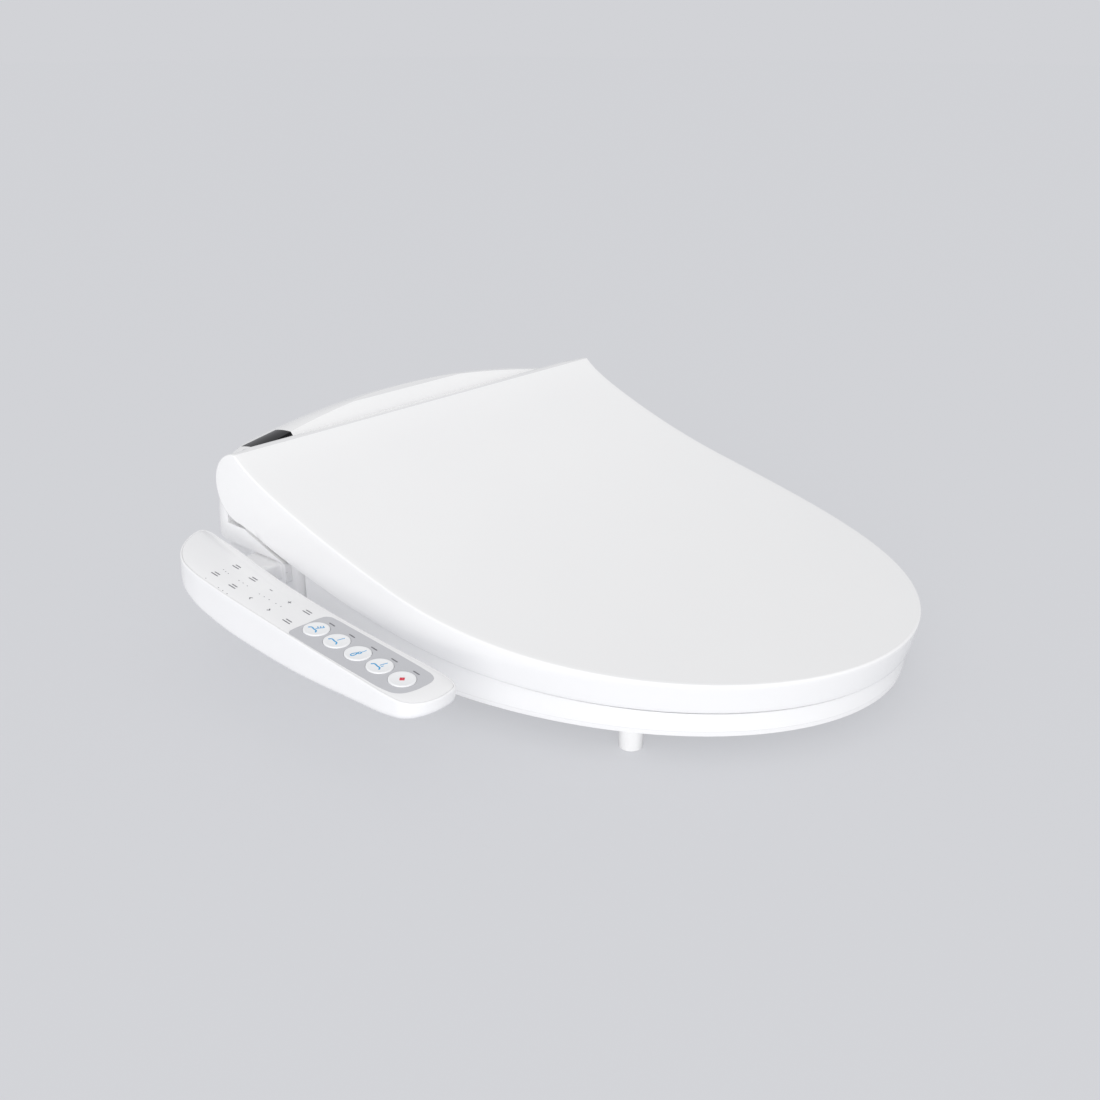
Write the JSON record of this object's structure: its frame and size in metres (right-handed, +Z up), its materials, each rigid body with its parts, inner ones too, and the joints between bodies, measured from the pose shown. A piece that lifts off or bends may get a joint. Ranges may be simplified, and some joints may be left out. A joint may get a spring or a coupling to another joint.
{
  "type": "electric bidet seat",
  "caption": "Electric bidet toilet seat with a hinged lid and heated ring, a rear housing with a dark sensor window, a side control panel with round keys, sliding wash nozzles and a dryer.",
  "frame": {"origin": "midway between the two mounting bolts, on the plane of the bowl's top", "axes": "+Z up from the bowl, -Y towards the front of the seat, the control panel at -X"},
  "size_m": [0.4657, 0.518, 0.1415],
  "materials": {
    "shell_white": "moulded gloss",
    "base_white": "satin",
    "panel_white": "moulded gloss",
    "key_white": "gloss",
    "field_grey": "satin",
    "window_black": "gloss",
    "pad_white": "matt",
    "foot_black": "matt",
    "hose_grey": "matt",
    "inner_plastic": "satin",
    "nozzle_white": "gloss",
    "gear_plastic": "satin",
    "dark_plastic": "satin",
    "board_green": "satin",
    "steel": "brushed",
    "brass": "turned",
    "foil": "foil"
  },
  "bodies": {
    "body": {"upper_case": "shell_white", "sensor_window": "window_black", "base_case": "base_white", "mounting_plate": "base_white", "plate_adjusters": "inner_plastic", "base_feet": "foot_black", "case_screws": "steel", "hinge_brackets": "base_white", "bracket_screws": "steel", "hinge_dampers": "dark_plastic", "panel_case": "panel_white", "panel_top": "panel_white", "key_field": "field_grey", "panel_board": "board_green", "panel_switches": "dark_plastic", "panel_screws": "steel", "nozzle_cradle": "inner_plastic", "nozzle_motors": "steel", "water_inlet": "brass", "inlet_valve": "inner_plastic", "valve_coil": "dark_plastic", "heater_tank": "inner_plastic", "tank_cover": "inner_plastic", "tank_element": "steel", "supply_hose": "hose_grey", "wash_hose": "hose_grey", "diverter_valve": "inner_plastic", "diverter_motor": "dark_plastic", "main_board": "board_green", "board_screws": "steel", "transformer": "dark_plastic", "cord_gland": "foot_black", "blower_case": "dark_plastic", "blower_motor": "steel", "dryer_duct": "inner_plastic", "dryer_element": "steel", "flap_pin": "steel"},
    "seat": {"seat_upper_shell": "shell_white", "seat_lower_plate": "base_white", "seat_heater": "foil", "seat_bumpers": "pad_white", "seat_hinge_bushes": "gear_plastic"},
    "lid": {"lid_shell": "shell_white", "lid_pads": "pad_white", "lid_hinge_pins": "steel"},
    "key_dry": {"key_dry": "key_white"},
    "key_pulse": {"key_pulse": "key_white"},
    "key_front_wash": {"key_front_wash": "key_white"},
    "key_rear_wash": {"key_rear_wash": "key_white"},
    "key_stop": {"key_stop": "key_white"},
    "rear_nozzle": {"rear_nozzle": "nozzle_white", "rear_nozzle_tip": "nozzle_white"},
    "front_nozzle": {"front_nozzle": "nozzle_white", "front_nozzle_tip": "nozzle_white"},
    "rear_pinion": {"rear_pinion": "gear_plastic"},
    "front_pinion": {"front_pinion": "gear_plastic"},
    "fan": {"fan_impeller": "dark_plastic"},
    "flap": {"dryer_flap": "base_white"}
  },
  "joints": [
    {"name": "seat_hinge", "type": "hinge", "parent": "body", "child": "seat", "pos_m": [0, -0.047, 0.109], "axis": [1, 0, 0], "range_deg": [-100, 0]},
    {"name": "lid_hinge", "type": "hinge", "parent": "seat", "child": "lid", "pos_m": [0, -0.047, 0.109], "axis": [-1, 0, 0], "range_deg": [0, 105]},
    {"name": "key_dry_press", "type": "slide", "parent": "body", "child": "key_dry", "axis": [0, 0.0837, -0.9965], "range_m": [0, 0.0008], "stiffness_N_per_m": 1500},
    {"name": "key_pulse_press", "type": "slide", "parent": "body", "child": "key_pulse", "axis": [0, 0.0837, -0.9965], "range_m": [0, 0.0008], "stiffness_N_per_m": 1500},
    {"name": "key_front_wash_press", "type": "slide", "parent": "body", "child": "key_front_wash", "axis": [0, 0.0837, -0.9965], "range_m": [0, 0.0008], "stiffness_N_per_m": 1500},
    {"name": "key_rear_wash_press", "type": "slide", "parent": "body", "child": "key_rear_wash", "axis": [0, 0.0837, -0.9965], "range_m": [0, 0.0008], "stiffness_N_per_m": 1500},
    {"name": "key_stop_press", "type": "slide", "parent": "body", "child": "key_stop", "axis": [0, 0.0837, -0.9965], "range_m": [0, 0.0008], "stiffness_N_per_m": 1500},
    {"name": "rear_nozzle_slide", "type": "slide", "parent": "body", "child": "rear_nozzle", "axis": [0, -0.9659, -0.2588], "range_m": [0, 0.072]},
    {"name": "rear_pinion_turn", "type": "hinge", "parent": "body", "child": "rear_pinion", "pos_m": [-0.014, -0.07127, 0.05099], "axis": [-1, 0, 0], "range_deg": [0, 590]},
    {"name": "front_nozzle_slide", "type": "slide", "parent": "body", "child": "front_nozzle", "axis": [0, -0.9659, -0.2588], "range_m": [0, 0.072]},
    {"name": "front_pinion_turn", "type": "hinge", "parent": "body", "child": "front_pinion", "pos_m": [0.014, -0.07127, 0.05099], "axis": [-1, 0, 0], "range_deg": [0, 590]},
    {"name": "fan_spin", "type": "hinge", "parent": "body", "child": "fan", "pos_m": [-0.1, -0.008, 0.025], "axis": [0, 0, 1], "continuous": true},
    {"name": "flap_swing", "type": "hinge", "parent": "body", "child": "flap", "pos_m": [-0.08, -0.1027, 0.035], "axis": [-1, 0, 0], "range_deg": [0, 65]}
  ],
  "couplings": [
    {"joint": "rear_pinion_turn", "follows": "rear_nozzle_slide", "rad_per_m": 142.86},
    {"joint": "front_pinion_turn", "follows": "front_nozzle_slide", "rad_per_m": 142.86}
  ]
}
